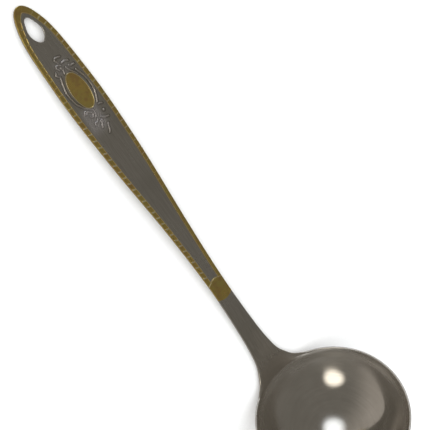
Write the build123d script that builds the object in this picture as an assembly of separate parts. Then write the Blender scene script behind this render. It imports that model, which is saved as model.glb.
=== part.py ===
from build123d import *
import math
import os

# Soup ladle of stainless steel with a partly gilded handle, in millimetres.
#
# It is drawn upright first, in the bowl's frame: the rim's centre is the origin, +Z runs out of
# the bowl and +X points at the handle. At the end the whole ladle is laid on a table, resting on
# the bowl's round side and on the back of the handle's tip. Stations along the handle are
# measured from the rim on its front face, the face that looks into the bowl.

# bowl
RIM_RADIUS = 45.0
BOWL_DEPTH = 28.0
WALL = 1.2
RIM_ROUND = 0.45

# handle: a strip bent to one long arc, with its front face on the outside of the bend
HANDLE_LENGTH = 257.0
HANDLE_THICKNESS = 2.2
ROOT_SLOPE = 63.3
TIP_SLOPE = 53.7
WAIST = (66.0, 5.17)
BROADEST = (203.0, 11.05)
SHOULDER = (250.0, 6.3)
SIDE = (
    (46.0, 5.53),
    WAIST,
    (97.0, 5.93),
    (125.0, 7.42),
    (152.0, 9.35),
    (178.0, 10.6),
    BROADEST,
    (224.0, 10.3),
    (239.0, 9.1),
)

# the handle's fishtail foot, which spreads along the rim
# the foot is as thin as the bowl's wall at the rim, and as thick as the handle at its top
FLARE_LENGTH = 30.0
NECK_HALF_WIDTH = 6.25
FOOT_HALF_WIDTHS = (
    (0.0, 20.0),
    (1.3, 17.0),
    (4.5, 13.0),
    (9.5, 9.9),
    (16.0, 7.8),
    (23.0, 6.8),
    (FLARE_LENGTH, NECK_HALF_WIDTH),
)

# egg-shaped hanging hole, narrower towards the tip
HOLE_START = 236.4
HOLE_BROADEST = (241.8, 3.65)
HOLE_SHOULDER = (247.0, 2.6)
HOLE_END = 250.3

# gilding on the front face
GILDING = 0.15
BORDER_WIDTH = 2.6
RIB_PITCH = 4.2
RIB_WIDTH = 0.9
RIB_HEIGHT = 0.3
RIB_MARGIN = 0.35
MEDALLION_CENTRE = 205.9
MEDALLION_LENGTH = 21.4
MEDALLION_WIDTH = 10.4
MEDALLION_RIM = 0.7
COLLAR_START = 61.4
COLLAR_END = 76.4
COLLAR_START_BULGE = 2.8
COLLAR_END_BULGE = 4.2

# ground bead of weld behind the handle's foot
WELD_RADIUS = 0.56
WELD_INSET = 0.4
WELD_HALF_ANGLE = 18.0

# the sphere that the outside of the bowl is part of
BALL_RADIUS = (RIM_RADIUS**2 + BOWL_DEPTH**2) / (2 * BOWL_DEPTH)
BALL_HEIGHT = BALL_RADIUS - BOWL_DEPTH
INNER_RIM_RADIUS = math.sqrt((BALL_RADIUS - WALL) ** 2 - BALL_HEIGHT**2)

# the handle's arc, and the frame that its outline is drawn in: +X along the chord from the rim
# to the tip, +Z out of the front face
BEND_RADIUS = HANDLE_LENGTH / math.radians(ROOT_SLOPE - TIP_SLOPE)
CHORD_SLOPE = (ROOT_SLOPE + TIP_SLOPE) / 2
ARCH = BEND_RADIUS * (1 - math.cos(math.radians(ROOT_SLOPE - TIP_SLOPE) / 2))
HANDLE_PLANE = Plane(
    origin=(INNER_RIM_RADIUS, 0, 0),
    x_dir=(math.cos(math.radians(CHORD_SLOPE)), 0, math.sin(math.radians(CHORD_SLOPE))),
    z_dir=(-math.sin(math.radians(CHORD_SLOPE)), 0, math.cos(math.radians(CHORD_SLOPE))),
)


def make_bowl():
    """The drawn bowl: part of a spherical shell, open at the top, with a rounded rim."""
    below_rim = Box(
        3 * BALL_RADIUS, 3 * BALL_RADIUS, BALL_RADIUS, align=(Align.CENTER, Align.CENTER, Align.MAX)
    )
    shell = Pos(0, 0, BALL_HEIGHT) * (Sphere(BALL_RADIUS) - Sphere(BALL_RADIUS - WALL))
    bowl = shell & below_rim
    rim_edges = bowl.edges().filter_by_position(Axis.Z, -0.01, 0.01)
    return fillet(rim_edges, RIM_ROUND)


def layer(bottom, top):
    """A wide slab that follows the handle's bend, between two heights above its front face."""
    centre = (HANDLE_LENGTH / 2, 0, ARCH - BEND_RADIUS)
    axis_along_y = Rot(90, 0, 0)
    half_length = HANDLE_LENGTH / 2 + 10
    window = Pos(HANDLE_LENGTH / 2, 0, 0) * Box(2 * half_length, 60, 60)
    outer = Pos(centre) * axis_along_y * Cylinder(BEND_RADIUS + top, 60)
    inner = Pos(centre) * axis_along_y * Cylinder(BEND_RADIUS + bottom, 60)
    return window & (outer - inner)


def side_curve(inset=0.0):
    """One side of the handle's outline from just inside the foot to the tip, or a line inset.

    An inset line keeps half as far again from the tip as it does from the sides.
    """
    return Spline(
        (FLARE_LENGTH - 4, NECK_HALF_WIDTH + 0.3 - inset),
        *((station, half_width - inset) for station, half_width in SIDE),
        (SHOULDER[0] - 0.7 * inset, SHOULDER[1] - 0.75 * inset),
        (HANDLE_LENGTH - 1.5 * inset, 0),
        tangents=[(1, -0.07), (0, -1)],
    )


def outline(inset=0.0):
    """The handle's outline beyond its foot, or one inset from it, as a flat face."""
    side = side_curve(inset)
    start = side @ 0
    return make_face([side, mirror(side, Plane.XZ), Line(start, (start.X, -start.Y))])


def prism(face):
    """A flat outline or pattern, carried through the whole depth of the handle's bend."""
    return extrude(face, amount=30, both=True)


def hanging_hole():
    side = Spline(
        (HOLE_START, 0), HOLE_BROADEST, HOLE_SHOULDER, (HOLE_END, 0), tangents=[(0, 1), (0, -1)]
    )
    return make_face([side, mirror(side, Plane.XZ)])


def slope_at(station):
    """The front face's slope above the rim's plane, and its mean slope down to the rim."""
    slope = math.radians(ROOT_SLOPE) - station / BEND_RADIUS
    return slope, (math.radians(ROOT_SLOPE) + slope) / 2


def foot_section(station, half_width, bend):
    """The foot's section by a level plane; bend is 1 where it follows the rim, 0 where flat."""
    slope, mean_slope = slope_at(station)
    thickness = WALL + (HANDLE_THICKNESS - WALL) * station / FLARE_LENGTH
    front = INNER_RIM_RADIUS + station * math.cos(mean_slope)
    height = station * math.sin(mean_slope)

    def face_points(radius):
        angle = half_width / radius
        depth = bend * radius * (1 - math.cos(angle))
        reach = bend * radius * math.sin(angle) + (1 - bend) * half_width
        return [(radius - depth, y, height) for y in (-reach, reach)], (radius, 0, height)

    (front_right, front_left), front_middle = face_points(front)
    (back_right, back_left), back_middle = face_points(front + thickness / math.sin(slope))
    return make_face([
        Spline(front_right, front_middle, front_left),
        Line(front_left, back_left),
        Spline(back_left, back_middle, back_right),
        Line(back_right, front_right),
    ])


def make_handle():
    """The stamped handle: the fishtail foot, the neck and the blade with its hanging hole."""
    sections = [
        foot_section(station, half_width, 1 - station / FLARE_LENGTH)
        for station, half_width in FOOT_HALF_WIDTHS
    ]
    foot = loft(sections)
    neck_height = FLARE_LENGTH * math.sin(slope_at(FLARE_LENGTH)[1])
    blade = HANDLE_PLANE * (layer(-HANDLE_THICKNESS, 0) & prism(outline() - hanging_hole()))
    blade = split(blade, Plane.XY.offset(neck_height), keep=Keep.TOP)
    return foot + blade


def make_weld(bowl, handle):
    """The low bead along the rim, behind the joint of bowl and handle."""
    section = Plane.XZ * Pos(RIM_RADIUS - WELD_INSET, 0) * Circle(WELD_RADIUS)
    ring = revolve(section, Axis.Z, 2 * WELD_HALF_ANGLE)
    return Rot(0, 0, -WELD_HALF_ANGLE) * ring - bowl - handle


def collar_line(middle, bulge):
    """A line across the handle, bowed along it by the bulge."""
    end = WAIST[1] + 2
    return ThreePointArc((middle - bulge, -end), (middle, 0), (middle - bulge, end))


def collar_face():
    low = collar_line(COLLAR_START, -COLLAR_START_BULGE)
    high = collar_line(COLLAR_END, COLLAR_END_BULGE)
    return make_face([low, high, Line(low @ 0, high @ 0), Line(low @ 1, high @ 1)]) & outline()


def make_collar():
    """The plain gilded band across the handle where its neck begins."""
    return layer(0, GILDING) & prism(collar_face())


def border_ribs():
    """Short bars square to the handle's edge, evenly spaced from the collar to the tip."""
    side = side_curve()
    first = COLLAR_END + 0.8 * RIB_PITCH - (side @ 0).X
    ribs = Sketch()
    for i in range(int((side.length - first) / RIB_PITCH)):
        distance = first + i * RIB_PITCH
        place = side.position_at(distance, position_mode=PositionMode.LENGTH)
        along = side.tangent_at(distance, position_mode=PositionMode.LENGTH)
        turn = Rot(0, 0, math.degrees(math.atan2(along.Y, along.X)))
        bar = Rectangle(RIB_WIDTH, BORDER_WIDTH - 2 * RIB_MARGIN)
        ribs += Pos(place) * turn * Pos(0, -BORDER_WIDTH / 2) * bar
    return ribs


def make_border():
    """The gilded band round the handle's edge with its raised ribs, as a left and a right half."""
    window_start = COLLAR_END - COLLAR_END_BULGE
    window_length = HANDLE_LENGTH + 5 - window_start
    window = Pos(window_start, 0) * Rectangle(window_length, 20, align=(Align.MIN, Align.MIN))
    band = (outline() - outline(BORDER_WIDTH)) & window - collar_face()
    left = (layer(0, GILDING) & prism(band)) + (layer(0, RIB_HEIGHT) & prism(border_ribs()))
    return Compound([*left.solids(), *mirror(left, Plane.XZ).solids()])


def make_medallion():
    """The gilded oval on the blade, inside a raised rim."""
    oval = Ellipse(MEDALLION_LENGTH / 2, MEDALLION_WIDTH / 2)
    inside = Ellipse(MEDALLION_LENGTH / 2 - MEDALLION_RIM, MEDALLION_WIDTH / 2 - MEDALLION_RIM)
    place = Pos(MEDALLION_CENTRE, 0)
    plate = layer(0, GILDING) & prism(place * oval)
    return plate + (layer(GILDING, RIB_HEIGHT) & prism(place * (oval - inside)))


def lie_angle():
    """The turn that puts the bowl's side and the back of the handle's tip on one level."""
    tip = HANDLE_PLANE.from_local_coords((HANDLE_LENGTH, 0, -HANDLE_THICKNESS))
    rise = tip.Z - BALL_HEIGHT
    distance = math.hypot(tip.X, rise)
    return math.degrees(math.atan2(rise, tip.X) + math.asin(BALL_RADIUS / distance))


def make_ladle():
    """Every piece by name, with the ladle lying on a table and +X towards the handle's tip."""
    bowl = make_bowl()
    handle = make_handle()
    upright = {
        "bowl": bowl,
        "handle": handle,
        "neck_weld": make_weld(bowl, handle),
        "gilt_collar": HANDLE_PLANE * make_collar(),
        "gilt_border": HANDLE_PLANE * make_border(),
        "gilt_medallion": HANDLE_PLANE * make_medallion(),
    }
    lay_down = Rot(0, lie_angle(), 0)
    lying = {name: lay_down * solid for name, solid in upright.items()}
    box = Compound(list(lying.values())).bounding_box()
    to_origin = Pos(-box.center().X, -box.center().Y, -box.min.Z)
    return {name: to_origin * solid for name, solid in lying.items()}


os.makedirs("parts", exist_ok=True)
for name, solid in make_ladle().items():
    export_step(solid, f"parts/{name}.step")
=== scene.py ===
import math

import bpy
import numpy as np
from mathutils import Matrix, Vector, noise
from mathutils.geometry import delaunay_2d_cdt


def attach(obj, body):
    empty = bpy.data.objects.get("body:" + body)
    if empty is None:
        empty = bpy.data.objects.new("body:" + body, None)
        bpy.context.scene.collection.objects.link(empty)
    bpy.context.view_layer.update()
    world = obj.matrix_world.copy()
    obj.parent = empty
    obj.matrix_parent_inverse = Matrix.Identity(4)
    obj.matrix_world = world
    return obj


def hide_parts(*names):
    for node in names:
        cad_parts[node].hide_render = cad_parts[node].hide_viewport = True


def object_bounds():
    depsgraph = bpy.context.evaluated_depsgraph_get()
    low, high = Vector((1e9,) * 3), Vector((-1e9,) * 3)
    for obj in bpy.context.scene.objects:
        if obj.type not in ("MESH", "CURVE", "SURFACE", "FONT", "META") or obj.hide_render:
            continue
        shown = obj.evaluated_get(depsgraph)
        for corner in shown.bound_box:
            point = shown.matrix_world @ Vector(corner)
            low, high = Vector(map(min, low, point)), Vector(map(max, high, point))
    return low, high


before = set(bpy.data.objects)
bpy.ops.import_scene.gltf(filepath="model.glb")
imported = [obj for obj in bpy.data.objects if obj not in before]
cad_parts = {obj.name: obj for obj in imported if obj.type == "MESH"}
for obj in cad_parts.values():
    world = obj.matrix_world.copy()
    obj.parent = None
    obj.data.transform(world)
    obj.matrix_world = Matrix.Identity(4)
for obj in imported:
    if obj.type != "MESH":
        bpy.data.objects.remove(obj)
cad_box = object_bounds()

# A stainless ladle with a partly gilded handle. Every surface is drawn in millimetres in the
# bowl's own frame (rim centre at the origin, +Z out of the bowl, +X at the handle), and then
# laid on the table like the part. Stations run along the handle's front face from the rim.

MM = 0.001

# bowl and handle, as in the part
RIM_RADIUS = 45.0
BOWL_DEPTH = 28.0
WALL = 1.2
HANDLE_LENGTH = 257.0
HANDLE_THICKNESS = 2.2
ROOT_SLOPE = math.radians(63.3)
TIP_SLOPE = math.radians(53.7)
FLARE_LENGTH = 30.0
BALL_RADIUS = (RIM_RADIUS**2 + BOWL_DEPTH**2) / (2 * BOWL_DEPTH)
BALL_HEIGHT = BALL_RADIUS - BOWL_DEPTH
INNER_BALL = BALL_RADIUS - WALL
INNER_RIM_RADIUS = math.sqrt(INNER_BALL**2 - BALL_HEIGHT**2)
BEND_RADIUS = HANDLE_LENGTH / (ROOT_SLOPE - TIP_SLOPE)
CHORD_SLOPE = (ROOT_SLOPE + TIP_SLOPE) / 2
ARCH = BEND_RADIUS * (1 - math.cos((ROOT_SLOPE - TIP_SLOPE) / 2))

# how the ladle lies: turned about Y until it rests on the bowl's side and on the back of the
# handle's tip, with the bowl's side at the end of the frame's box
TIP_BACK = (
    INNER_RIM_RADIUS + HANDLE_LENGTH * math.cos(CHORD_SLOPE) + HANDLE_THICKNESS * math.sin(CHORD_SLOPE),
    HANDLE_LENGTH * math.sin(CHORD_SLOPE) - HANDLE_THICKNESS * math.cos(CHORD_SLOPE) - BALL_HEIGHT,
)
LIE_ANGLE = math.atan2(TIP_BACK[1], TIP_BACK[0]) + math.asin(BALL_RADIUS / math.hypot(*TIP_BACK))
RIM_CENTRE = (
    cad_box[0][0] / MM + BALL_RADIUS - BALL_HEIGHT * math.sin(LIE_ANGLE),
    0.0,
    BALL_RADIUS - BALL_HEIGHT * math.cos(LIE_ANGLE),
)

# handle outline, half widths by station
FOOT_START = -2.5
FOOT_POINTS = (
    (FOOT_START, 27.0),
    (-0.6, 24.0),
    (0.3, 20.5),
    (1.35, 17.4),
    (2.5, 15.1),
    (4.3, 13.2),
    (6.7, 11.6),
    (9.2, 10.05),
    (12.1, 8.85),
    (15.6, 7.9),
    (19.5, 7.3),
    (24.0, 6.75),
    (30.0, 6.25),
)
SIDE_POINTS = (
    (46.0, 5.53),
    (66.0, 5.17),
    (97.0, 5.93),
    (125.0, 7.42),
    (152.0, 9.35),
    (178.0, 10.6),
    (203.0, 11.05),
    (224.0, 10.3),
    (239.0, 9.1),
    (250.0, 6.3),
    (HANDLE_LENGTH, 0.0),
)
OUTLINE_STEP = 0.5
EDGE_ROUND = 0.42
EDGE_DROP = 0.34
HOLE_POINTS = ((236.4, 0.0), (241.8, 3.65), (247.0, 2.6), (250.3, 0.0))
HOLE_BEVEL = 0.5
HOLE_DROP = 0.4
HOLE_FLARE = 0.7

# the rim's rounding starts this far below it; then the bowl's inner wall leans in a little, and
# it is nowhere quite true
RIM_ROUND_DEPTH = 0.6
LEAN_DEPTH = 0.35
WAVE_DEPTH = 0.22

# gilding
GILDING = 0.05
BORDER_START = 74.0
BORDER_WIDTH = 2.6
RIB_PITCH = 4.2
FIRST_RIB = 79.75
RIB_HEIGHT = 0.3
BEAD_WIDTH = 0.42
BEAD_HEIGHT = 0.17
MEDALLION_CENTRE = (205.9, -0.4)
MEDALLION_HALF_LENGTH = 10.8
MEDALLION_HALF_WIDTH = 5.15
COLLAR_START = 61.4
COLLAR_END = 76.4
COLLAR_START_BULGE = 2.8
COLLAR_END_BULGE = 4.2
COLLAR_BULGE_REACH = 7.17
COLLAR_HALF_WIDTH = 5.3

# weld bead behind the foot
WELD_RADIUS = 0.55
WELD_INSET = 0.4
WELD_HALF_ANGLE = math.radians(18)

# the raised scrolls round the medallion: strokes through (station, y)
STROKES = (
    ((217.0, 3.9), (213.3, 5.2), (210.1, 6.1), (207.0, 6.45), (203.9, 6.1), (200.8, 5.35),
     (199.5, 4.6), (197.5, 3.4), (195.75, 1.75), (194.5, 0.3), (192.6, 0.0), (190.4, 0.5)),
    ((215.75, -5.4), (213.25, -6.2), (210.0, -7.1), (207.0, -7.3), (203.9, -7.3),
     (200.75, -6.7), (198.25, -5.6), (196.0, -4.5)),
    ((219.5, -1.7), (217.9, -2.2), (215.75, -3.4), (213.25, -4.8)),
    ((225.6, -2.3), (226.1, -0.75), (226.2, 0.5), (225.4, 1.3), (224.3, 0.8), (223.4, 0.5)),
    ((222.6, 1.9), (221.7, 3.0), (220.9, 2.4), (220.0, 2.1)),
    ((220.0, 4.6), (218.7, 5.2), (217.8, 4.6), (216.8, 4.1)),
    ((222.6, 2.4), (222.3, 0.8), (221.7, 0.2)),
    ((222.6, -1.4), (222.3, -3.9), (221.7, -4.7)),
    ((219.5, -3.6), (218.9, -4.5), (218.7, -6.4)),
    ((220.75, 0.8), (218.9, 0.5), (217.3, 1.0)),
    ((191.7, 3.3), (191.1, 2.1), (192.0, 1.3), (193.9, 2.1), (194.8, 3.0)),
    ((188.9, 0.7), (187.9, 1.75), (187.6, 3.3), (186.8, 3.6)),
    ((186.0, 0.2), (184.8, 0.8), (183.6, 1.3)),
    ((183.9, -2.6), (182.6, -1.8), (180.75, -1.2), (179.5, -0.1)),
    ((194.8, -4.2), (194.5, -5.4), (194.0, -6.2)),
    ((188.6, -1.4), (187.3, -3.25), (186.7, -5.0)),
)
RINGS = ((194.8, 4.25, 0.8), (186.7, -0.4, 0.6), (190.75, -4.7, 0.3))
STROKE_HALF_WIDTH = 0.45
STROKE_HEIGHT = 0.36
ORNAMENT_START = 177.0
ORNAMENT_END = 228.0
ORNAMENT_HALF_WIDTH = 7.9


# ---------------------------------------------------------------- curves and placing

def smooth(low, high, value):
    x = np.clip((np.asarray(value, float) - low) / (high - low), 0.0, 1.0)
    return x * x * (3 - 2 * x)


def spline(points, start, end, step):
    """A clamped cubic spline through the points, as points an even step apart."""
    p = np.array(points, float)
    gap = np.linalg.norm(np.diff(p, axis=0), axis=1)
    count = len(p)
    left = np.eye(count)
    right = np.zeros((count, 2))
    right[0] = np.array(start) / math.hypot(*start)
    right[-1] = np.array(end) / math.hypot(*end)
    for i in range(1, count - 1):
        before, after = gap[i - 1], gap[i]
        left[i, i - 1 : i + 2] = after, 2 * (before + after), before
        slopes = after * (p[i] - p[i - 1]) / before + before * (p[i + 1] - p[i]) / after
        right[i] = 3 * slopes
    slope = np.linalg.solve(left, right)
    dense = []
    for i in range(count - 1):
        t = np.linspace(0, 1, 60, endpoint=i == count - 2)[:, None]
        dense.append(
            (2 * t**3 - 3 * t**2 + 1) * p[i]
            + (t**3 - 2 * t**2 + t) * gap[i] * slope[i]
            + (3 * t**2 - 2 * t**3) * p[i + 1]
            + (t**3 - t**2) * gap[i] * slope[i + 1]
        )
    return even(np.concatenate(dense), step)


def even(line, step):
    """The same line with its points an even step apart."""
    run = np.concatenate([[0], np.cumsum(np.linalg.norm(np.diff(line, axis=0), axis=1))])
    at = np.linspace(0, run[-1], int(run[-1] / step) + 1)
    return np.stack([np.interp(at, run, line[:, k]) for k in (0, 1)], axis=1)


def inward(line):
    """Unit normals of the handle's +Y side, pointing into the handle."""
    along = np.gradient(line, axis=0)
    along /= np.linalg.norm(along, axis=1)[:, None]
    return np.stack([along[:, 1], -along[:, 0]], axis=1)


SIDE_LINE = spline(FOOT_POINTS + SIDE_POINTS, (0.53, -0.85), (0, -1), OUTLINE_STEP)
BLADE_LINE = SIDE_LINE[SIDE_LINE[:, 0] > 1.0]


def half_width(station):
    return np.interp(station, BLADE_LINE[:, 0], BLADE_LINE[:, 1])


def middle(station):
    """Radius and height of the front face's middle line, which runs on down the bowl's wall."""
    s = np.asarray(station, float)
    z = ARCH - BEND_RADIUS + np.sqrt(BEND_RADIUS**2 - (s - HANDLE_LENGTH / 2) ** 2)
    c, d = math.cos(CHORD_SLOPE), math.sin(CHORD_SLOPE)
    strip = np.stack([INNER_RIM_RADIUS + s * c - z * d, s * d + z * c], axis=-1)
    rim_angle = math.asin(-BALL_HEIGHT / INNER_BALL)
    angle = rim_angle + s / INNER_BALL
    wall = np.stack([INNER_BALL * np.cos(angle), BALL_HEIGHT + INNER_BALL * np.sin(angle)], -1)
    mix = smooth(-1.6, 1.6, s)[..., None]
    return wall * (1 - mix) + strip * mix


def place(station, y, height):
    """Points of the handle by station, distance from its middle line and height off its face."""
    s, y, h = np.broadcast_arrays(*(np.asarray(v, float) for v in (station, y, height)))
    mid = middle(s)
    ahead = middle(s + 0.05) - middle(s - 0.05)
    ahead /= np.linalg.norm(ahead, axis=-1)[..., None]
    bend = np.clip(1 - s / FLARE_LENGTH, 0, 1) ** 1.25
    turn = y / mid[..., 0]
    normal_r = -ahead[..., 1]
    x = mid[..., 0] * (1 - bend * (1 - np.cos(turn))) + h * normal_r * np.cos(bend * turn)
    side = bend * mid[..., 0] * np.sin(turn) + (1 - bend) * y
    side = side + h * normal_r * np.sin(bend * turn)
    return np.stack([x, side, mid[..., 1] + h * ahead[..., 0]], axis=-1)


def lay_down(points):
    """From the bowl's frame in millimetres to the table's frame in metres."""
    p = np.asarray(points, float).reshape(-1, 3)
    c, d = math.cos(LIE_ANGLE), math.sin(LIE_ANGLE)
    turned = np.stack([p[:, 0] * c + p[:, 2] * d, p[:, 1], p[:, 2] * c - p[:, 0] * d], axis=1)
    return (turned + np.array(RIM_CENTRE)) * MM


def add_piece(name, points, faces, material, nodes, values=None, sharp=40):
    mesh = bpy.data.meshes.new(name)
    mesh.from_pydata(lay_down(points).tolist(), [], faces)
    mesh.validate()
    mesh.shade_smooth()
    mesh.set_sharp_from_angle(angle=math.radians(sharp))
    for key, data in (values or {}).items():
        layer = mesh.attributes.new(key, "FLOAT", "POINT")
        layer.data.foreach_set("value", np.asarray(data, dtype=np.float32).ravel())
    mesh.materials.append(material)
    piece = bpy.data.objects.new(name, mesh)
    bpy.context.scene.collection.objects.link(piece)
    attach(piece, "root")
    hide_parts(*nodes)
    return piece


def grid_faces(rows, columns, wrap=False):
    """Quads of a grid stored row by row; wrap joins the last column to the first."""
    last = columns if wrap else columns - 1
    return [
        (i * columns + j, i * columns + (j + 1) % columns,
         (i + 1) * columns + (j + 1) % columns, (i + 1) * columns + j)
        for i in range(rows - 1)
        for j in range(last)
    ]


# ---------------------------------------------------------------- relief of the front face

def crown(s, y):
    """The front face is slightly rounded across the neck, and less so across the blade."""
    swell = 0.5 * smooth(12, 34, s) - 0.3 * smooth(78, 120, s) - 0.2 * smooth(222, 246, s)
    return -swell * (y / np.maximum(half_width(s), 1.0)) ** 2


def edge(inset):
    return -EDGE_DROP * (1 - np.clip(np.asarray(inset, float) / EDGE_ROUND, 0, 1)) ** 2.2


def distance_to(points, line):
    """Distance of each point from a line of points."""
    best = np.full(len(points), 1e9)
    for a, b in zip(line[:-1], line[1:]):
        a, b = np.array(a), np.array(b)
        t = np.clip((points - a) @ (b - a) / ((b - a) @ (b - a)), 0, 1)
        best = np.minimum(best, np.linalg.norm(points - a - t[:, None] * (b - a), axis=1))
    return best


def ornament(points):
    """Height of the raised scrolls and of the stippled ground between them."""
    line_distance = np.full(len(points), 1e9)
    for stroke in STROKES:
        curve = spline(stroke, np.subtract(stroke[1], stroke[0]),
                       np.subtract(stroke[-1], stroke[-2]), 0.35)
        line_distance = np.minimum(line_distance, distance_to(points, curve))
    for s, y, radius in RINGS:
        ring = np.abs(np.hypot(points[:, 0] - s, points[:, 1] - y) - radius)
        line_distance = np.minimum(line_distance, ring)
    scroll = np.clip(1 - (line_distance / STROKE_HALF_WIDTH) ** 2, 0, 1)
    stipple_and_sheen = stippled_ground_and_sheen(points)
    s, y = points[:, 0], points[:, 1]
    stipple = np.sin(s * 5.2 + np.sin(y * 2.3)) * np.sin(y * 5.6 + np.sin(s * 1.9))
    ground = 0.12 * stipple_and_sheen * stipple
    near = 1 - smooth(0.6, 1.3, line_distance)
    return STROKE_HEIGHT * scroll ** 0.8 - 0.14 * near * (1 - scroll) + ground * (1 - scroll)


def stippled_ground_and_sheen(points):
    """How much a point belongs to the matt, stippled ground below the medallion; the same mask paints
    the handle's steel lighter there, a painted sheen.
    """
    s, y = points[:, 0], points[:, 1]
    middle_part = smooth(179, 186, s) * (1 - smooth(195, 199, s))
    middle_part = middle_part * (1 - smooth(3.5, 6.8, np.abs(y - 2.2)))
    ends = smooth(216.5, 218, s) * (1 - smooth(223, 226, s)) * (1 - smooth(3, 5.5, np.abs(y)))
    return np.maximum(middle_part, 0.45 * ends)


# ---------------------------------------------------------------- handle

def mirrored_loop(line):
    """A closed loop from a +Y side line: up that side, round the tip and back down the other."""
    back = line[::-1][1 if abs(line[-1, 1]) < 1e-6 else 0 :].copy()
    back[:, 1] *= -1
    return np.concatenate([line, back])


def hole_loop(grow):
    side = spline(HOLE_POINTS, (0, 1), (0, -1), 0.35)
    out = side - inward(side) * grow
    out[0, 1] = out[-1, 1] = 0
    back = out[::-1][1:-1].copy()
    back[:, 1] *= -1
    return np.concatenate([out, back])


def inside(points, loop):
    """Which points lie inside a closed loop."""
    x, y = points[:, 0], points[:, 1]
    odd = np.zeros(len(points), bool)
    for (x0, y0), (x1, y1) in zip(loop, np.roll(loop, -1, axis=0)):
        if y0 == y1:
            continue
        cross = (y0 > y) != (y1 > y)
        odd ^= cross & (x < (x1 - x0) * (y - y0) / (y1 - y0) + x0)
    return odd


def nearest(points, line):
    best = np.full(len(points), 1e9)
    for start in range(0, len(points), 2000):
        part = points[start : start + 2000]
        gap = np.linalg.norm(part[:, None] - line[None], axis=2)
        best[start : start + 2000] = gap.min(axis=1)
    return best


def spread(s0, s1, half, step):
    s = np.arange(s0, s1, step)
    y = np.arange(-half, half + step / 2, step)
    return np.stack(np.meshgrid(s, y), axis=-1).reshape(-1, 2)


def face_mesh(insets, grows, coarse, fine):
    """Flat triangulation of the handle: points, triangles, insets, and the two edge loops."""
    steel_inset = 0.06 * smooth(60, 64, SIDE_LINE[:, 0])
    base = SIDE_LINE + inward(SIDE_LINE) * steel_inset[:, None]
    rings = [mirrored_loop(base + inward(SIDE_LINE) * v) for v in insets]
    holes = [hole_loop(v) for v in grows]
    bottom_y = np.arange(-26.0, 26.5, 1.0)
    bottom = np.stack([np.full_like(bottom_y, FOOT_START), bottom_y], axis=1)
    outline = np.concatenate([rings[0], bottom])
    inner = spread(FOOT_START + 1, HANDLE_LENGTH, 26, coarse)
    if fine:
        window = (inner[:, 0] > ORNAMENT_START) & (inner[:, 0] < ORNAMENT_END)
        window &= np.abs(inner[:, 1]) < ORNAMENT_HALF_WIDTH
        inner = inner[~window]
        inner = np.concatenate(
            [inner, spread(ORNAMENT_START, ORNAMENT_END, ORNAMENT_HALF_WIDTH, fine)]
        )
        dense_foot = spread(FOOT_START + 0.35, 3.0, 27, 0.5)
        inner = np.concatenate([inner[inner[:, 0] > 3.2], dense_foot])
    keep = inside(inner, outline)
    inner = inner[keep]
    inner = inner[nearest(inner, outline) > insets[-1] + 0.35 * coarse]
    inner = inner[nearest(inner, holes[0]) > grows[-1] + 0.35 * coarse]
    extra = [r[inside(r, outline)] for r in rings[1:]]
    extra = [r[r[:, 0] > FOOT_START + 0.05] for r in extra]
    points = np.concatenate([outline, holes[0], *extra, *holes[1:], inner])
    n, m = len(outline), len(holes[0])
    edges = [(i, (i + 1) % n) for i in range(n)] + [(n + i, n + (i + 1) % m) for i in range(m)]
    verts, _, faces, origin, _, _ = delaunay_2d_cdt(
        [Vector(p) for p in points.tolist()], edges, [], 1, 1e-6
    )
    verts = np.array([tuple(v) for v in verts])
    where = np.full(len(points), -1)
    for i, sources in enumerate(origin):
        for source in sources:
            where[source] = i
    faces = np.array([tuple(f) for f in faces])
    centres = verts[faces].mean(axis=1)
    faces = faces[~inside(centres, holes[0]) & inside(centres, outline)]
    turn = verts[faces]
    area = np.cross(turn[:, 1] - turn[:, 0], turn[:, 2] - turn[:, 0])
    faces[area < 0] = faces[area < 0][:, ::-1]
    side_inset = nearest(verts, mirrored_loop(base))
    hole_grow = nearest(verts, holes[0])
    return verts, faces, side_inset, hole_grow, where[:n], where[n : n + m]


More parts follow.
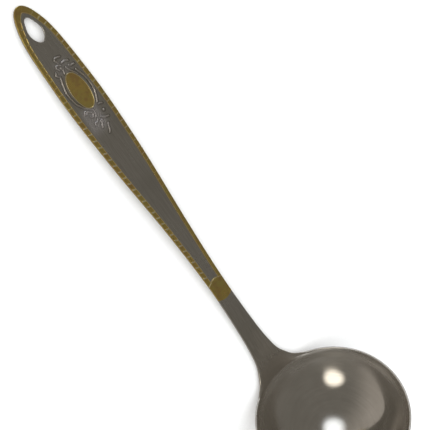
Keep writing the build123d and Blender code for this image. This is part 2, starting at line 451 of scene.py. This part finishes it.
def make_handle(material):
    insets = (0.0, 0.05, 0.13, 0.25, EDGE_ROUND, 0.8)
    grows = (0.0, 0.06, 0.18, 0.32, HOLE_BEVEL)
    verts, faces, inset, grow, rim, hole = face_mesh(insets, grows, 1.1, 0.27)
    s, y = verts[:, 0], verts[:, 1]
    window = (s > ORNAMENT_START) & (s < ORNAMENT_END) & (np.abs(y) < ORNAMENT_HALF_WIDTH)
    relief = np.zeros(len(verts))
    relief[window] = ornament(verts[window])
    bevel = -HOLE_DROP * (1 - np.clip(grow / HOLE_BEVEL, 0, 1)) ** 1.8
    lift = np.where(s < 0, 0.03 - 0.09 * smooth(0.7, 2.4, -s), 0.03 * (1 - smooth(0, 6, s)))
    front_height = crown(s, y) + edge(inset) + bevel + relief + lift
    front = place(s, y, front_height)

    back_v, back_f, back_inset, back_grow, back_rim, back_hole = face_mesh(
        (0.0, 0.12, 0.35), (HOLE_FLARE, HOLE_FLARE + 0.12, HOLE_FLARE + 0.35), 3.0, 0
    )
    bs, by = back_v[:, 0], back_v[:, 1]
    thickness = 1.0 + 0.15 * smooth(-1, 1, bs) + (HANDLE_THICKNESS - 1.15) * np.clip(
        bs / FLARE_LENGTH, 0, 1)
    back_round = 0.3 * (1 - np.clip(back_inset / 0.35, 0, 1)) ** 2
    back_round += 0.3 * (1 - np.clip(back_grow / 0.35, 0, 1)) ** 2
    back = place(bs, by, -thickness + back_round)

    points = np.concatenate([front, back])
    shift = len(front)
    all_faces = [tuple(f) for f in faces.tolist()]
    all_faces += [(c + shift, b + shift, a + shift) for a, b, c in back_f.tolist()]
    for top, low in ((rim, back_rim + shift), (hole, back_hole + shift)):
        count = len(top)
        for i in range(count):
            j = (i + 1) % count
            all_faces.append((int(top[j]), int(top[i]), int(low[i]), int(low[j])))
    polish = 1 - smooth(-1, 16, np.concatenate([s, bs]))
    # relief also drives the steel's painted shade in the grooves and painted highlight on the scrolls
    relief_all = np.concatenate([relief, np.zeros(len(bs))])
    # the stippled ground's mask: real stipple and roughness, and also a painted sheen on the steel
    stipple_and_sheen = np.concatenate([stippled_ground_and_sheen(verts) * window, np.zeros(len(bs))])
    return add_piece("handle_steel", points, all_faces, material, ["handle"],
                     {"polish": polish, "relief": relief_all, "stipple_and_sheen": stipple_and_sheen})


# ---------------------------------------------------------------- gilded border, collar, oval

def make_border(material):
    side = even(SIDE_LINE[SIDE_LINE[:, 0] > BORDER_START], 0.26)
    normal = inward(side)
    normal[-1] = (-1, 0)
    run = np.concatenate([[0], np.cumsum(np.linalg.norm(np.diff(side, axis=0), axis=1))])
    run -= np.interp(FIRST_RIB, side[:, 0], run)
    other, other_normal = side[::-1][1:].copy(), normal[::-1][1:].copy()
    other[:, 1] *= -1
    other_normal[:, 1] *= -1
    path = np.concatenate([side, other])
    normal = np.concatenate([normal, other_normal])
    run = np.concatenate([run, run[::-1][1:]])
    left = np.concatenate([np.ones(len(side)), np.zeros(len(other))])
    s = path[:, 0]
    width = BORDER_WIDTH + 0.4 * smooth(238, 248, s) + 0.9 * smooth(250, 257, s)
    lean = np.where(left > 0, 0.42 * (1 - smooth(170, 215, s)) + 0.05, 0.05)
    strength = np.where(left > 0, 1.5 - 0.75 * smooth(160, 215, s), 0.35 + 0.6 * smooth(110, 190, s))
    strength = strength * (1 - smooth(250.5, 252.5, s))

    outer = (0.0, 0.05, 0.13, 0.25, 0.42, 0.62, 0.85, 1.1, 1.4, 1.7)
    beads = (0.75, 0.58, BEAD_WIDTH, 0.34, 0.24, 0.15, 0.06)
    inner_only = 0.3 + 0.9 * left * smooth(205, 230, s)
    bead_height = BEAD_HEIGHT * (1 + 0.9 * left * (1 - smooth(212, 226, s)))
    columns, heights, tops = [], [], []
    for t in outer:
        columns.append(np.full(len(s), t))
    for t in beads:
        columns.append(width - t)
    for t in columns:
        reach = smooth(inner_only, inner_only + 0.4, t) * (1 - smooth(width - 0.4, width - 0.15, t))
        along = run + lean * (t - width / 2) + 0.06 * np.sin(s * 0.37)
        off = np.abs((along / RIB_PITCH + 0.5) % 1 - 0.5) * RIB_PITCH
        flank = 0.55 + 0.15 * left * (1 - smooth(180, 215, s))
        ridge = (1 - smooth(0.12, flank, off)) * (run > -1)
        rib = RIB_HEIGHT * strength * reach * ridge
        centre = width - BEAD_WIDTH / 2
        bead = bead_height * np.clip(1 - ((t - centre) / (BEAD_WIDTH / 2 + 0.02)) ** 2, 0, 1)
        top = np.maximum(rib, bead)
        # tops also set the gilding's painted highlight on ribs and bead, and painted shade on the flat
        # band
        tops.append(np.maximum(rib / RIB_HEIGHT, 0.8 * bead / bead_height))
        heights.append(edge(t) + GILDING + top)
    wall = [(0.0, -0.95), (0.14, -1.0), (0.5, -0.75)]
    columns = [np.full(len(s), w[0]) for w in wall[::-1]] + columns
    heights = [np.full(len(s), w[1]) for w in wall[::-1]] + heights
    tops = [np.zeros(len(s))] * len(wall) + tops
    columns.append(width)
    heights.append(np.full(len(s), -0.1))
    tops.append(np.zeros(len(s)))
    columns.append(width - 0.1)
    heights.append(np.full(len(s), -0.4))
    tops.append(np.zeros(len(s)))

    t = np.stack(columns, axis=1)
    spot = path[:, None] + normal[:, None] * t[..., None]
    height = np.stack(heights, axis=1) + crown(spot[..., 0], spot[..., 1])
    points = place(spot[..., 0], spot[..., 1], height).reshape(-1, 3)
    rows, count = t.shape
    faces = grid_faces(rows, count, wrap=True)
    faces.append(tuple(range(count))[::-1])
    faces.append(tuple((rows - 1) * count + j for j in range(count)))
    return add_piece("border_gold", points, faces, material, ["gilt_border"],
                     {"relief": np.stack(tops, axis=1)}, sharp=50)


def make_collar(material):
    across = np.concatenate([[-1.0], np.linspace(-1, 1, 61), [1.0]])
    along = np.concatenate(
        [[0, 0.012, 0.03, 0.05, 0.075], np.linspace(0.1, 0.86, 18),
         [0.885, 0.9, 0.915, 0.93, 0.945, 0.96, 0.975, 0.99, 1.0]]
    )
    bow = (across * COLLAR_HALF_WIDTH / COLLAR_BULGE_REACH) ** 2
    low = COLLAR_START + COLLAR_START_BULGE * bow
    high = COLLAR_END - COLLAR_END_BULGE * bow
    s = low[None] + (high - low)[None] * along[:, None]
    y = half_width(s) * across[None]
    length = (high - low)[None]
    from_end = length * (1 - along[:, None])
    from_start = length * along[:, None]
    ring = 0.3 * np.clip(1 - ((from_end - 0.42) / 0.4) ** 2, 0, 1)
    groove = -0.03 * np.clip(1 - ((from_end - 1.15) / 0.3) ** 2, 0, 1)
    faint = 0.14 * np.clip(1 - ((from_start - 0.4) / 0.38) ** 2, 0, 1)
    top = ring + groove + faint
    inset = half_width(s) * (1 - np.abs(across))[None]
    height = crown(s, y) + edge(inset) + GILDING + 0.02 + top
    height[:, 0] = height[:, -1] = -1.0
    height[0] -= 0.25
    height[-1] -= 0.25
    upper = place(s, y, height)
    sunk = np.minimum(height - 0.5, -0.5)
    sunk[:, 0] = sunk[:, -1] = -1.0
    lower = place(s, y * 0.97, sunk)
    rows, count = s.shape
    points = np.concatenate([upper.reshape(-1, 3), lower.reshape(-1, 3)])
    faces = [f[::-1] for f in grid_faces(rows, count)]
    shift = rows * count
    faces += [tuple(i + shift for i in f[::-1]) for f in faces]
    border = list(range(count))
    border += [i * count + count - 1 for i in range(1, rows)]
    border += [(rows - 1) * count + j for j in range(count - 2, -1, -1)]
    border += [i * count for i in range(rows - 2, 0, -1)]
    for a, b in zip(border, border[1:] + border[:1]):
        faces.append((a, b, b + shift, a + shift))
    # relief here sets the gilding's painted highlight on the raised ring and painted shade on the flat
    # collar
    relief = np.concatenate([np.clip(top / 0.3, 0, 1).ravel(), np.zeros(shift)])
    return add_piece("collar_gold", points, faces, material, ["gilt_collar"],
                     {"relief": relief}, sharp=50)


def make_medallion(material):
    sectors = 144
    angle = np.arange(sectors) / sectors * 2 * math.pi
    rim = [(0.02, 0.26), (0.08, 0.36), (0.16, 0.41), (0.26, 0.41), (0.36, 0.35), (0.48, 0.2),
           (0.6, 0.1), (0.95, 0.12)]
    insets = [r[0] for r in rim[::-1]]
    points, relief = [], []
    centre_s, centre_y = MEDALLION_CENTRE
    radial = np.stack([np.cos(angle), np.sin(angle)], axis=1)
    size = np.array([MEDALLION_HALF_LENGTH, MEDALLION_HALF_WIDTH])

    def ring(spot, height, high):
        points.append(place(spot[:, 0], spot[:, 1], height + crown(spot[:, 0], spot[:, 1])))
        relief.append(np.full(len(spot), high))

    # relief values here set the gilding's painted light: the raised rim is a painted highlight, the low
    # ring and sides get painted shade
    for f in np.linspace(0.04, 0.86, 16):
        spot = np.array([centre_s, centre_y]) + radial * (size - 0.95) * f / 0.86 * 0.97
        ring(spot, 0.12 + 0.24 * (1 - (f / 0.86) ** 2), 0.3)
    for v in insets:
        spot = np.array([centre_s, centre_y]) + radial * (size - v)
        high = dict(rim)[v]
        ring(spot, np.full(sectors, high), 0.95 if high > 0.2 else 0.12)
    edge_spot = np.array([centre_s, centre_y]) + radial * size
    ring(edge_spot, np.full(sectors, 0.12), 0.3)
    ring(edge_spot, np.full(sectors, -0.35), 0.0)
    rows = len(points)
    points = np.concatenate(points)
    top = place(centre_s, centre_y, 0.36)[None]
    low = place(centre_s, centre_y, -0.4)[None]
    points = np.concatenate([points, top, low])
    faces = grid_faces(rows, sectors, wrap=True)
    first, last = len(points) - 2, len(points) - 1
    for j in range(sectors):
        k = (j + 1) % sectors
        faces.append((first, k, j))
        faces.append((last, (rows - 1) * sectors + j, (rows - 1) * sectors + k))
    values = np.concatenate([np.concatenate(relief), [0.2, 0.0]])
    return add_piece("medallion_gold", points, faces, material, ["gilt_medallion"],
                     {"relief": values}, sharp=60)


# ---------------------------------------------------------------- bowl and weld

def bezier(a, b, c, count):
    t = np.linspace(0, 1, count)[:, None]
    a, b, c = np.array(a), np.array(b), np.array(c)
    return (1 - t) ** 2 * a + 2 * t * (1 - t) * b + t**2 * c


def cup_profile(radius, top):
    """From near the bottom up the spherical wall."""
    angle = np.linspace(math.radians(89.0), math.asin((BALL_HEIGHT - top) / radius), 90)
    return np.stack([radius * np.cos(angle), BALL_HEIGHT - radius * np.sin(angle)], axis=1)


def hammered(points):
    """The inner wall, leaning in a little below the rim and not quite true."""
    below = -RIM_ROUND_DEPTH - points[:, 2]
    lean = LEAN_DEPTH * smooth(0.0, 5.0, below) * (1 - smooth(5.0, 20.0, below))
    wave = np.array([noise.noise(Vector(p) * 0.055) for p in points.tolist()])
    wave = WAVE_DEPTH * wave * smooth(0.0, 8.0, below)
    centre = np.array([0, 0, BALL_HEIGHT])
    inward_way = (centre - points) / np.linalg.norm(centre - points, axis=1)[:, None]
    return points + inward_way * (wave + lean)[:, None]


def make_bowl(material):
    inner = cup_profile(INNER_BALL, -RIM_ROUND_DEPTH)
    outer = cup_profile(BALL_RADIUS, -RIM_ROUND_DEPTH)
    rim_in = bezier(inner[-1], (43.62, -0.03), (44.05, 0.0), 8)[1:]
    rim_out = bezier((44.4, 0.0), (44.72, -0.04), outer[-1], 8)[:-1]
    profile = np.concatenate([inner, rim_in, rim_out, outer[::-1]])
    sectors = 320
    angle = np.arange(sectors) / sectors * 2 * math.pi
    r, z = profile[:, 0][:, None], profile[:, 1][:, None]
    points = np.stack(
        [r * np.cos(angle), r * np.sin(angle), np.broadcast_to(z, (len(r), sectors))], axis=-1
    ).reshape(-1, 3)
    rows = len(profile)
    faces = grid_faces(rows, sectors, wrap=True)
    inner_count = len(inner) * sectors
    points[:inner_count] = hammered(points[:inner_count])
    bottom = [[0, 0, BALL_HEIGHT - INNER_BALL], [0, 0, BALL_HEIGHT - BALL_RADIUS]]
    points = np.concatenate([points, bottom])
    first, last = len(points) - 2, len(points) - 1
    for j in range(sectors):
        k = (j + 1) % sectors
        faces.append((first, k, j))
        faces.append((last, (rows - 1) * sectors + j, (rows - 1) * sectors + k))
    rim_zone = smooth(-15, -3, points[:, 2])
    return add_piece("bowl_steel", points, faces, material, ["bowl"],
                     {"rim_zone": rim_zone}, sharp=60)


def make_weld(material):
    sections, around = 121, 20
    points = []
    for i in range(sections):
        f = i / (sections - 1) * 2 - 1
        size = WELD_RADIUS * math.sqrt(max(1 - f**4, 0.02)) * (1 + 0.05 * math.sin(i * 1.05))
        for j in range(around):
            a = j / around * 2 * math.pi
            r = RIM_RADIUS - WELD_INSET + size * math.cos(a)
            z = size * math.sin(a)
            turn = f * WELD_HALF_ANGLE
            points.append((r * math.cos(turn), r * math.sin(turn), z))
    faces = [f[::-1] for f in grid_faces(sections, around, wrap=True)]
    faces.append(tuple(range(around)))
    faces.append(tuple((sections - 1) * around + j for j in range(around))[::-1])
    return add_piece("weld_bead", points, faces, material, ["neck_weld"])


# ---------------------------------------------------------------- materials

class Tree:
    """Short ways to build a node tree."""

    def __init__(self, owner):
        owner.use_nodes = True
        self.tree = owner.node_tree
        self.tree.nodes.clear()

    def add(self, kind, values=None, **settings):
        node = self.tree.nodes.new("ShaderNode" + kind)
        for key, value in settings.items():
            setattr(node, key, value)
        for key, value in (values or {}).items():
            socket = node.inputs[key]
            if isinstance(value, bpy.types.NodeSocket):
                self.tree.links.new(value, socket)
            else:
                socket.default_value = value
        return node

    def math(self, operation, a, b=0.0, clamp=False):
        node = self.add("Math", {0: a, 1: b}, operation=operation, use_clamp=clamp)
        return node.outputs[0]

    def ranged(self, value, low, high, to_low, to_high):
        node = self.add("MapRange", {"Value": value, "From Min": low, "From Max": high,
                                     "To Min": to_low, "To Max": to_high},
                        interpolation_type="SMOOTHSTEP")
        return node.outputs["Result"]

    def noise(self, vector, scale, detail=4.0, rough=0.55):
        node = self.add("TexNoise", {"Vector": vector, "Scale": scale, "Detail": detail,
                                     "Roughness": rough})
        return node.outputs["Fac"]

    def stretched(self, vector, scale, rotation=(0, 0, 0)):
        node = self.add("Mapping", {"Vector": vector, "Scale": scale, "Rotation": rotation})
        return node.outputs["Vector"]

    def mix(self, factor, a, b, blend="MIX"):
        node = self.add("Mix", data_type="RGBA", blend_type=blend)
        for key, value in (("Factor_Float", factor), ("A_Color", a), ("B_Color", b)):
            socket = next(i for i in node.inputs if i.identifier == key)
            if isinstance(value, bpy.types.NodeSocket):
                self.tree.links.new(value, socket)
            else:
                socket.default_value = value
        return next(o for o in node.outputs if o.identifier == "Result_Color")

    def metal(self, colour, rough, normal):
        shader = self.add("BsdfPrincipled", {"Base Color": colour, "Roughness": rough,
                                             "Metallic": 1.0, "Normal": normal})
        self.add("OutputMaterial", {"Surface": shader.outputs[0]})


def colour(r, g, b):
    return (r, g, b, 1.0)


STEEL = colour(0.60, 0.575, 0.54)
STEEL_DULL = colour(0.50, 0.475, 0.44)
BRIGHT_STEEL = colour(0.70, 0.67, 0.63)


def bowl_look(t, place_vector):
    """Worn polish with faint marks round the bowl's axis: colour, roughness and height."""
    turned = t.stretched(place_vector, (1, 1, 1), (0, -LIE_ANGLE, 0))
    marks = t.noise(t.stretched(turned, (60, 60, 1500)), 1.0, 3.0)
    fine = t.noise(t.stretched(turned, (250, 250, 6000)), 1.0, 2.0)
    worn = t.noise(turned, 55.0, 5.0)
    smear = t.noise(t.stretched(turned, (30, 30, 110)), 1.0, 3.0, 0.6)
    tint = t.mix(t.ranged(worn, 0.35, 0.7, 0, 1), BRIGHT_STEEL, colour(0.63, 0.60, 0.56))
    tint = t.mix(t.ranged(marks, 0.3, 0.75, 0.0, 0.3), tint, STEEL_DULL)
    rough = t.math("ADD", t.ranged(smear, 0.3, 0.7, 0.07, 0.12),
                   t.ranged(marks, 0.35, 0.7, 0.0, 0.04))
    height = t.math("ADD", t.math("MULTIPLY", marks, 0.7), t.math("MULTIPLY", fine, 0.3))
    return tint, rough, height


def polished_steel():
    material = bpy.data.materials.new("polished_steel")
    t = Tree(material)
    spot = t.add("TexCoord").outputs["Object"]
    tint, rough, height = bowl_look(t, spot)
    rim_zone = t.add("Attribute", attribute_name="rim_zone").outputs["Fac"]
    rough = t.math("ADD", rough, t.math("MULTIPLY", rim_zone, 0.16))
    bump = t.add("Bump", {"Height": height, "Strength": 0.08, "Distance": 0.0001})
    t.metal(tint, rough, bump.outputs[0])
    return material


def brushed_steel():
    material = bpy.data.materials.new("brushed_steel")
    t = Tree(material)
    spot = t.add("TexCoord").outputs["Object"]
    streaks = t.noise(t.stretched(spot, (45, 1600, 1600)), 1.0, 3.0, 0.6)
    hairs = t.noise(t.stretched(spot, (160, 7000, 7000)), 1.0, 2.0)
    cloud = t.noise(spot, 38.0, 5.0, 0.6)
    polish = t.add("Attribute", attribute_name="polish").outputs["Fac"]
    relief = t.add("Attribute", attribute_name="relief").outputs["Fac"]
    tint = t.mix(t.ranged(streaks, 0.3, 0.72, 0, 1), STEEL, STEEL_DULL)
    tint = t.mix(t.ranged(cloud, 0.42, 0.75, 0, 0.5), tint, colour(0.44, 0.42, 0.385))
    # painted shade: the grooves beside the scrolls are darkened; painted highlight: the raised scrolls
    # are lighter
    groove = t.ranged(relief, -0.14, -0.02, 0.85, 0.0)
    tint = t.mix(groove, tint, colour(0.26, 0.245, 0.22))
    tint = t.mix(t.ranged(relief, 0.08, 0.25, 0.0, 0.8), tint, colour(0.72, 0.68, 0.67))
    # the stippled ground is rougher, and its steel is also painted lighter and bluish: a painted sheen
    stipple_and_sheen = t.add("Attribute", attribute_name="stipple_and_sheen").outputs["Fac"]
    tint = t.mix(t.math("MULTIPLY", stipple_and_sheen, 0.5), tint, colour(0.84, 0.82, 0.88))
    rough = t.math("ADD", t.ranged(streaks, 0.3, 0.7, 0.27, 0.35),
                   t.ranged(cloud, 0.3, 0.7, -0.02, 0.04))
    rough = t.math("ADD", rough, t.math("MULTIPLY", stipple_and_sheen, 0.2))
    height = t.math("ADD", t.math("MULTIPLY", streaks, 0.6), t.math("MULTIPLY", hairs, 0.4))
    bowl_tint, bowl_rough, bowl_height = bowl_look(t, spot)
    tint = t.mix(polish, tint, bowl_tint)
    rough = t.add("Mix", {0: polish, 2: rough, 3: bowl_rough}).outputs[0]
    height = t.add("Mix", {0: polish, 2: height, 3: bowl_height}).outputs[0]
    bump = t.add("Bump", {"Height": height, "Strength": 0.16, "Distance": 0.0001})
    t.metal(tint, rough, bump.outputs[0])
    return material


def weld_steel():
    material = bpy.data.materials.new("weld_steel")
    t = Tree(material)
    spot = t.add("TexCoord").outputs["Object"]
    ripple = t.noise(spot, 900.0, 3.0)
    heat = t.noise(spot, 160.0, 4.0)
    tint = t.mix(t.ranged(heat, 0.35, 0.7, 0, 1), STEEL_DULL, colour(0.36, 0.32, 0.27))
    rough = t.ranged(ripple, 0.3, 0.7, 0.3, 0.46)
    bump = t.add("Bump", {"Height": ripple, "Strength": 0.25, "Distance": 0.0002})
    t.metal(tint, rough, bump.outputs[0])
    return material


def gilding():
    material = bpy.data.materials.new("gilding")
    t = Tree(material)
    spot = t.add("TexCoord").outputs["Object"]
    cloud = t.noise(spot, 90.0, 5.0, 0.6)
    patch = t.noise(spot, 260.0, 3.0, 0.55)
    brush = t.noise(t.stretched(spot, (150, 2600, 2600)), 1.0, 2.0)
    relief = t.add("Attribute", attribute_name="relief").outputs["Fac"]
    tint = t.mix(t.ranged(cloud, 0.35, 0.7, 0, 1), colour(0.88, 0.64, 0.20),
                 colour(0.76, 0.62, 0.21))
    tint = t.mix(t.ranged(patch, 0.42, 0.68, 0, 0.8), tint, colour(0.68, 0.44, 0.18))
    # painted shade: low and flat gilding is darkened to olive; painted highlight: raised ribs, bead and
    # rims are pale cream
    tint = t.mix(t.ranged(relief, 0.0, 0.4, 0.3, 0.0), tint, colour(0.52, 0.40, 0.13))
    tint = t.mix(t.ranged(relief, 0.4, 0.9, 0.0, 0.8), tint, colour(1.0, 0.93, 0.68))
    rough = t.math("ADD", t.ranged(patch, 0.3, 0.7, 0.27, 0.35),
                   t.ranged(cloud, 0.3, 0.7, -0.02, 0.03))
    bump = t.add("Bump", {"Height": brush, "Strength": 0.08, "Distance": 0.0001})
    t.metal(tint, rough, bump.outputs[0])
    return material


# ---------------------------------------------------------------- studio

# the studio: linear colours, and softboxes as azimuth, elevation in degrees and glow
FLOOR_BOUNCE = colour(0.40, 0.37, 0.33)
CEILING = colour(0.18, 0.17, 0.15)
BACKDROP = colour(0.93, 0.93, 0.93)
SOFTBOX_CORE = math.radians(4)
SOFTBOX_EDGE = math.radians(18)
SOFTBOXES = (
    (70, 45, colour(1.8, 1.7, 1.5)),
    (350, 20, colour(1.5, 1.6, 1.7)),
)
FLOOR_REACH = 9.0
OVERHEAD_STRENGTH = 3.6
OVERHEAD_SPREAD = math.radians(150)


def direction(azimuth, elevation):
    a, e = math.radians(azimuth), math.radians(elevation)
    return (math.cos(e) * math.cos(a), math.cos(e) * math.sin(a), math.sin(e))


def make_world():
    """A plain studio for the metal to reflect: pale floor, dim ceiling and two softboxes."""
    world = bpy.data.worlds.new("studio")
    bpy.context.scene.world = world
    t = Tree(world)
    look = t.add("TexCoord").outputs["Generated"]
    up = t.add("SeparateXYZ", {0: look}).outputs["Z"]
    room = t.mix(t.ranged(up, -0.3, 0.5, 0, 1), FLOOR_BOUNCE, CEILING)
    for azimuth, elevation, glow in SOFTBOXES:
        dot = t.add("VectorMath", {0: look, 1: direction(azimuth, elevation)},
                    operation="DOT_PRODUCT").outputs["Value"]
        spot = t.ranged(dot, math.cos(SOFTBOX_EDGE), math.cos(SOFTBOX_CORE), 0, 1)
        room = t.mix(spot, room, glow, "ADD")
    # the backdrop behind the ladle is plain white
    seen = t.add("LightPath").outputs["Is Camera Ray"]
    room = t.mix(seen, room, BACKDROP)
    background = t.add("Background", {"Color": room, "Strength": 1.0})
    t.add("OutputWorld", {"Surface": background.outputs[0]})


def make_floor():
    """Pale paper. The metal mirrors the studio's floor bounce instead of it."""
    mesh = bpy.data.meshes.new("floor")
    corners = [(x * FLOOR_REACH, y * FLOOR_REACH, 0) for x, y in ((-1, -1), (1, -1), (1, 1), (-1, 1))]
    mesh.from_pydata(corners, [], [(0, 1, 2, 3)])
    material = bpy.data.materials.new("floor_paper")
    t = Tree(material)
    spot = t.add("TexCoord").outputs["Object"]
    fibre = t.noise(spot, 500.0, 3.0)
    tint = t.mix(t.ranged(fibre, 0.3, 0.7, 0, 1), colour(0.93, 0.93, 0.93),
                 colour(0.91, 0.91, 0.91))
    shader = t.add("BsdfDiffuse", {"Color": tint})
    t.add("OutputMaterial", {"Surface": shader.outputs[0]})
    mesh.materials.append(material)
    floor = bpy.data.objects.new("floor", mesh)
    floor.visible_glossy = False
    bpy.context.scene.collection.objects.link(floor)
    return floor


def make_soft_light():
    """Wide soft light from overhead, which the metal doesn't mirror."""
    lamp = bpy.data.lights.new("overhead", "SUN")
    lamp.energy = OVERHEAD_STRENGTH
    lamp.angle = OVERHEAD_SPREAD
    lamp.color = (0.96, 0.98, 1.0)
    piece = bpy.data.objects.new("overhead", lamp)
    piece.location = (0, 0, 1)
    piece.visible_glossy = False
    bpy.context.scene.collection.objects.link(piece)
    return piece


# the camera looks at a point on the table, from an azimuth and elevation, turned about its axis
LENS = 72.8
VIEW_AZIMUTH = math.radians(41.9)
VIEW_ELEVATION = math.radians(61.2)
VIEW_ROLL = math.radians(99.8)
VIEW_DISTANCE = 0.497
VIEW_TARGET = Vector((0.0007, -0.0246, 0.0))


def make_camera():
    """The camera at the ladle's viewing angle."""
    camera = bpy.data.cameras.new("camera")
    camera.lens = LENS
    camera.clip_start = 0.01
    camera.clip_end = 20.0
    piece = bpy.data.objects.new("camera", camera)
    flat = math.cos(VIEW_ELEVATION)
    back = Vector((
        flat * math.cos(VIEW_AZIMUTH), flat * math.sin(VIEW_AZIMUTH), math.sin(VIEW_ELEVATION)
    ))
    turn = back.to_track_quat("Z", "Y").to_matrix() @ Matrix.Rotation(VIEW_ROLL, 3, "Z")
    stand = Matrix.Translation(VIEW_TARGET + VIEW_DISTANCE * back)
    piece.matrix_world = stand @ turn.to_4x4()
    bpy.context.scene.collection.objects.link(piece)
    bpy.context.scene.camera = piece


gold = gilding()
brushed = brushed_steel()
make_bowl(polished_steel())
make_handle(brushed)
make_weld(weld_steel())
make_border(gold)
make_collar(gold)
make_medallion(gold)

make_world()
floor = make_floor()
overhead = make_soft_light()
make_camera()
bpy.context.scene.view_settings.view_transform = "Standard"
bpy.context.scene.view_settings.look = "None"
